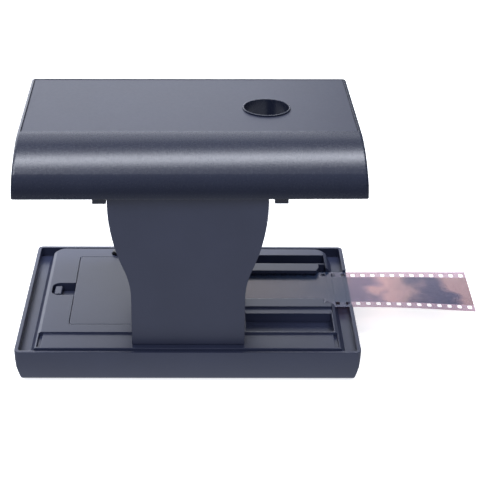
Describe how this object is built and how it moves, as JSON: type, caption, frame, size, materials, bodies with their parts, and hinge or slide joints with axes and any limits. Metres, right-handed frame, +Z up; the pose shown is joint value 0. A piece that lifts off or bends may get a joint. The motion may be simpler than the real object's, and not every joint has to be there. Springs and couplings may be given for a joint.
{
  "type": "slide viewer",
  "caption": "Foldable film and slide viewer: low lit base with a film track, two hinged legs, and a curved hood whose flat top holds a phone over a camera port.",
  "frame": {"origin": "middle of the base's underside, on the surface that it rests on", "axes": "+X towards the end where the film goes in, -Y the front, +Z up"},
  "size_m": [0.2086, 0.1058, 0.1068],
  "materials": {
    "case": "fine spark-eroded charcoal plastic",
    "hood": "satin charcoal plastic",
    "plate": "matte charcoal plastic",
    "leg": "fine-grained charcoal plastic",
    "button": "gloss black",
    "rubber": "matt black rubber",
    "steel": "bright zinc plated",
    "nickel": "nickel plated",
    "diffuser": "satin smoked diffuser",
    "white": "white reflector plastic",
    "board": "green solder mask",
    "lamp": "phosphor-filled lamp",
    "chip": "moulded epoxy",
    "cell": "printed sleeve, plain",
    "wire": "insulated lead",
    "film": "developed film"
  },
  "bodies": {
    "base": {"base_case": "case", "bottom_cover": "case", "rubber_feet": "rubber", "bottom_screws": "steel", "film_track": "case", "track_screws": "steel", "film_window": "diffuser", "light_box": "white", "led_board": "board", "leds": "lamp", "board_chips": "chip", "board_pillars": "white", "board_screws": "steel", "battery_cells": "cell", "cell_caps": "nickel", "contact_plates": "nickel", "contact_springs": "nickel", "switch_body": "chip", "switch_board": "board", "switch_pillars": "white", "leads": "wire", "front_hinge_pin": "steel", "rear_hinge_pin": "steel"},
    "front_leg": {"front_leg": "leg"},
    "rear_leg": {"rear_leg": "leg"},
    "platform": {"platform_shell": "hood", "platform_plate": "plate", "plate_screws": "steel", "camera_collar": "hood"},
    "film": {"film_strip": "film"},
    "button": {"power_button": "button"},
    "battery_door": {"battery_cover": "case"},
    "latch": {"cover_latch": "case"}
  },
  "joints": [
    {"name": "front_leg_fold", "type": "hinge", "parent": "base", "child": "front_leg", "pos_m": [0, -0.0413, 0.017], "axis": [1, 0, 0], "range_deg": [-90, 0]},
    {"name": "rear_leg_fold", "type": "hinge", "parent": "base", "child": "rear_leg", "pos_m": [0, 0.0366, 0.0202], "axis": [-1, 0, 0], "range_deg": [-90, 0]},
    {"name": "platform_lift", "type": "slide", "parent": "base", "child": "platform", "axis": [0, 0, 1], "range_m": [0, 0.03]},
    {"name": "film_slide", "type": "slide", "parent": "base", "child": "film", "axis": [1, 0, 0], "range_m": [0, 0.095]},
    {"name": "power_button_press", "type": "slide", "parent": "base", "child": "button", "axis": [0, 0, -1], "range_m": [0, 0.0008], "stiffness_N_per_m": 2500},
    {"name": "battery_cover_open", "type": "hinge", "parent": "base", "child": "battery_door", "pos_m": [-0.0216, 0, 0.0161], "axis": [0, 1, 0], "range_deg": [0, 80]},
    {"name": "cover_latch_press", "type": "slide", "parent": "battery_door", "child": "latch", "axis": [1, 0, 0], "range_m": [0, 0.0015], "stiffness_N_per_m": 1500}
  ]
}
